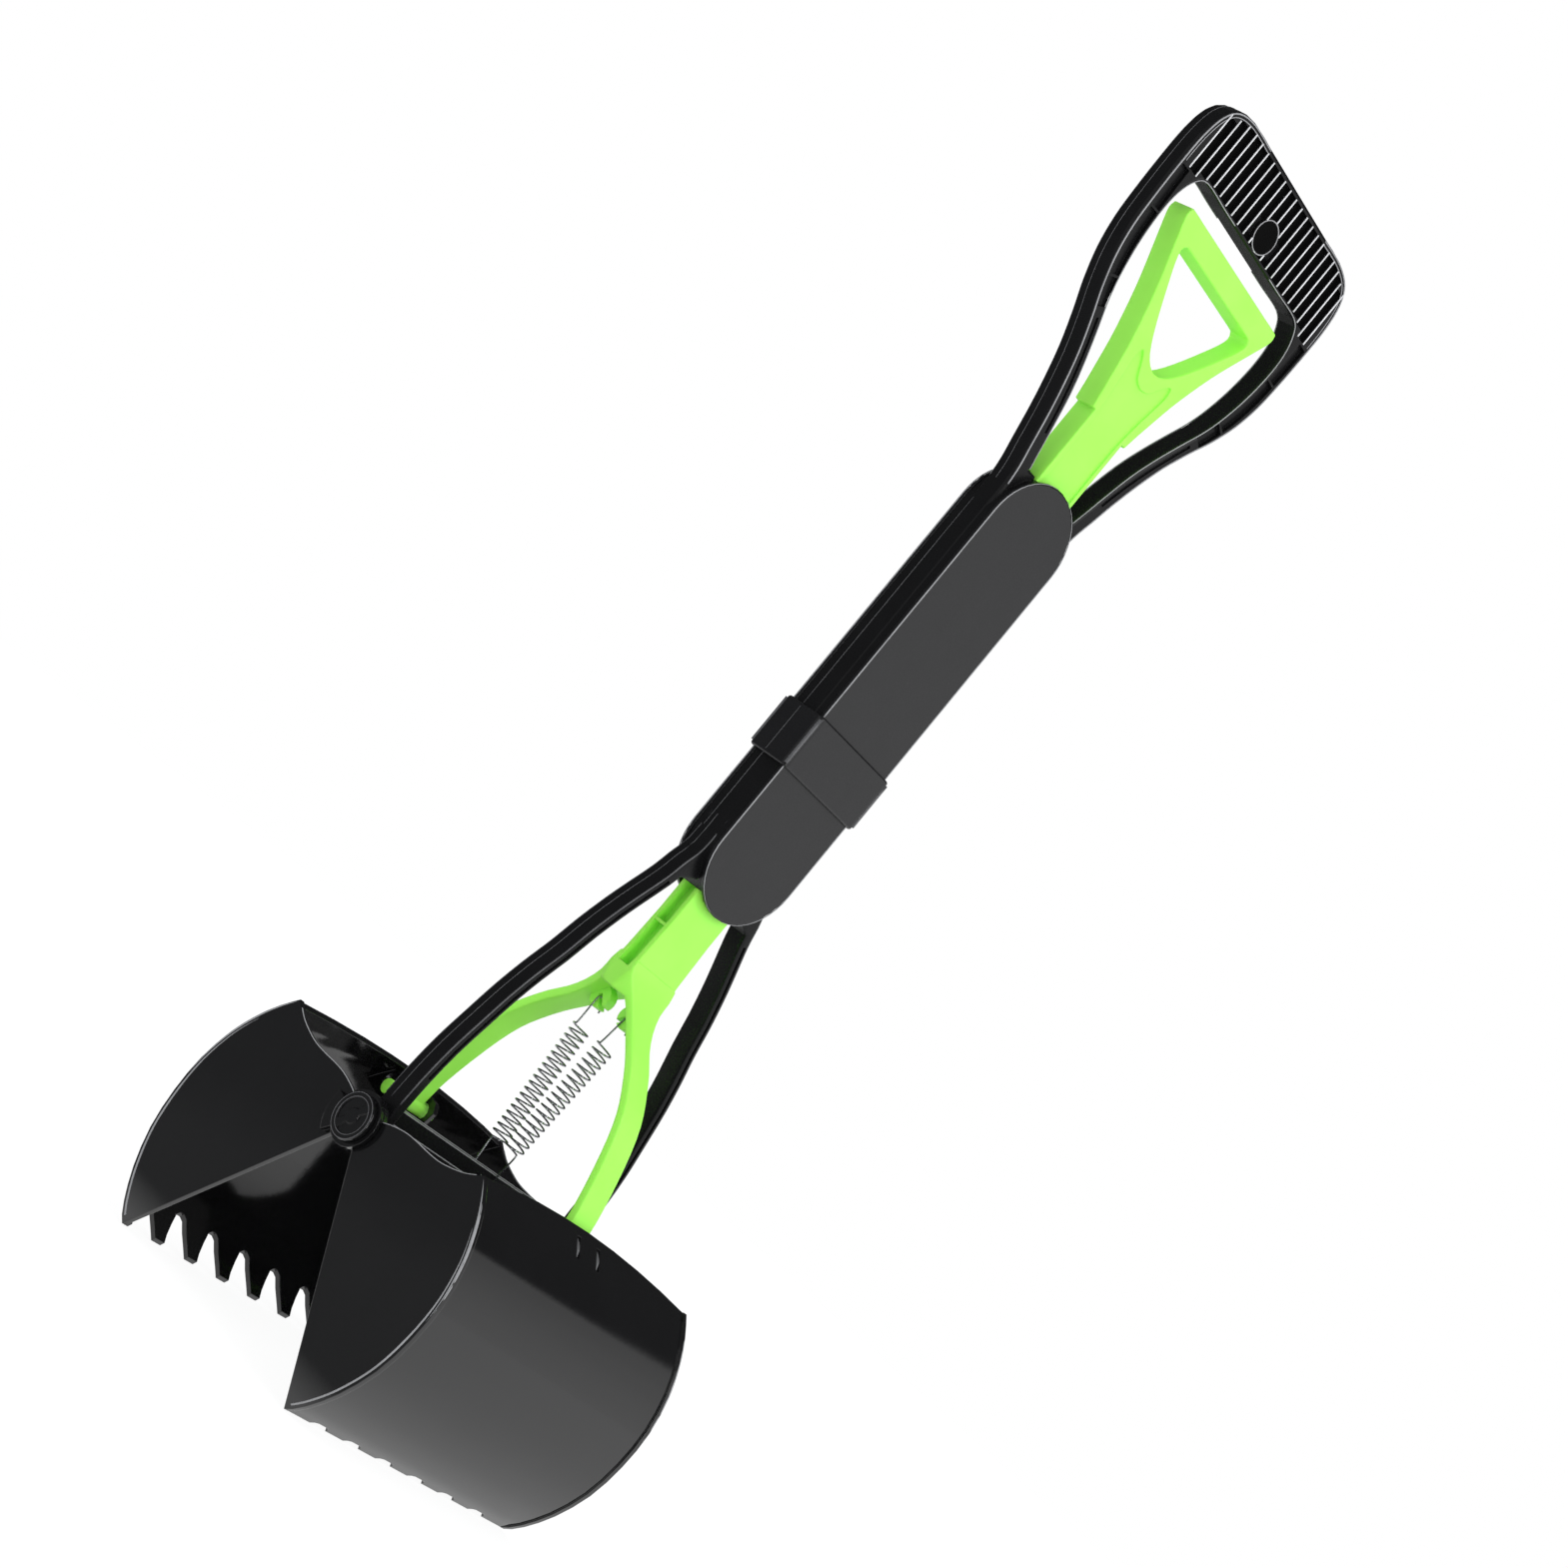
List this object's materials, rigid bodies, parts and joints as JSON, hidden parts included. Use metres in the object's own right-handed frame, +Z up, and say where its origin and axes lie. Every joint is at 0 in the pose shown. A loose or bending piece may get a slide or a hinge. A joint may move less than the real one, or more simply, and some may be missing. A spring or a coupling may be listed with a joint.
{
  "type": "pooper scooper",
  "caption": "Long-handled jaw pooper scooper with black D-grip, lime green pull, bowed legs and two toothed scoop jaws.",
  "frame": {"origin": "centre of the bounding box's bottom, below the jaws' hinge axis, with the jaws open as pictured", "axes": "+Z runs up the handle to the grip, +Y along the jaws' hinge axis towards the back, +X across the jaws towards the right jaw"},
  "size_m": [0.192, 0.1602, 0.6472],
  "materials": {
    "black_satin_pp": "satin",
    "black_gloss_abs": "gloss",
    "lime_green_pp": "satin",
    "spring_steel": "bright drawn wire",
    "zinc_plated_steel": "plated"
  },
  "bodies": {
    "frame": {"upper_frame": "black_satin_pp", "lower_frame": "black_satin_pp", "upper_front_cover": "black_satin_pp", "upper_rear_cover": "black_satin_pp", "lower_front_cover": "black_satin_pp", "lower_rear_cover": "black_satin_pp", "front_hinge_pin": "black_gloss_abs", "rear_hinge_pin": "black_gloss_abs", "left_spring": "spring_steel", "right_spring": "spring_steel", "case_screw_1": "zinc_plated_steel", "case_screw_2": "zinc_plated_steel", "case_screw_3": "zinc_plated_steel", "case_screw_4": "zinc_plated_steel", "case_screw_5": "zinc_plated_steel", "case_screw_6": "zinc_plated_steel"},
    "pull": {"pull_trigger": "lime_green_pp", "jaw_fork": "lime_green_pp", "coupler_pin": "zinc_plated_steel"},
    "left_jaw": {"left_jaw": "black_gloss_abs"},
    "right_jaw": {"right_jaw": "black_gloss_abs"},
    "lock_collar": {"lock_collar": "black_satin_pp"}
  },
  "joints": [
    {"name": "pull_slide", "type": "slide", "parent": "frame", "child": "pull", "axis": [0, 0, 1], "range_m": [-0.038, 0], "stiffness_N_per_m": 300, "springref_m": -0.06, "deforming": ["left_spring", "right_spring"]},
    {"name": "left_jaw_hinge", "type": "hinge", "parent": "frame", "child": "left_jaw", "pos_m": [0, 0, 0.09762], "axis": [0, 1, 0], "range_deg": [-34.7, 0]},
    {"name": "right_jaw_hinge", "type": "hinge", "parent": "frame", "child": "right_jaw", "pos_m": [0, 0, 0.09762], "axis": [0, 1, 0], "range_deg": [0, 34.7]},
    {"name": "collar_slide", "type": "slide", "parent": "frame", "child": "lock_collar", "axis": [0, 0, 1], "range_m": [0, 0.045]}
  ],
  "couplings": [
    {"joint": "left_jaw_hinge", "follows": "pull_slide", "rad_per_m": 15.9},
    {"joint": "right_jaw_hinge", "follows": "pull_slide", "rad_per_m": -15.9}
  ]
}
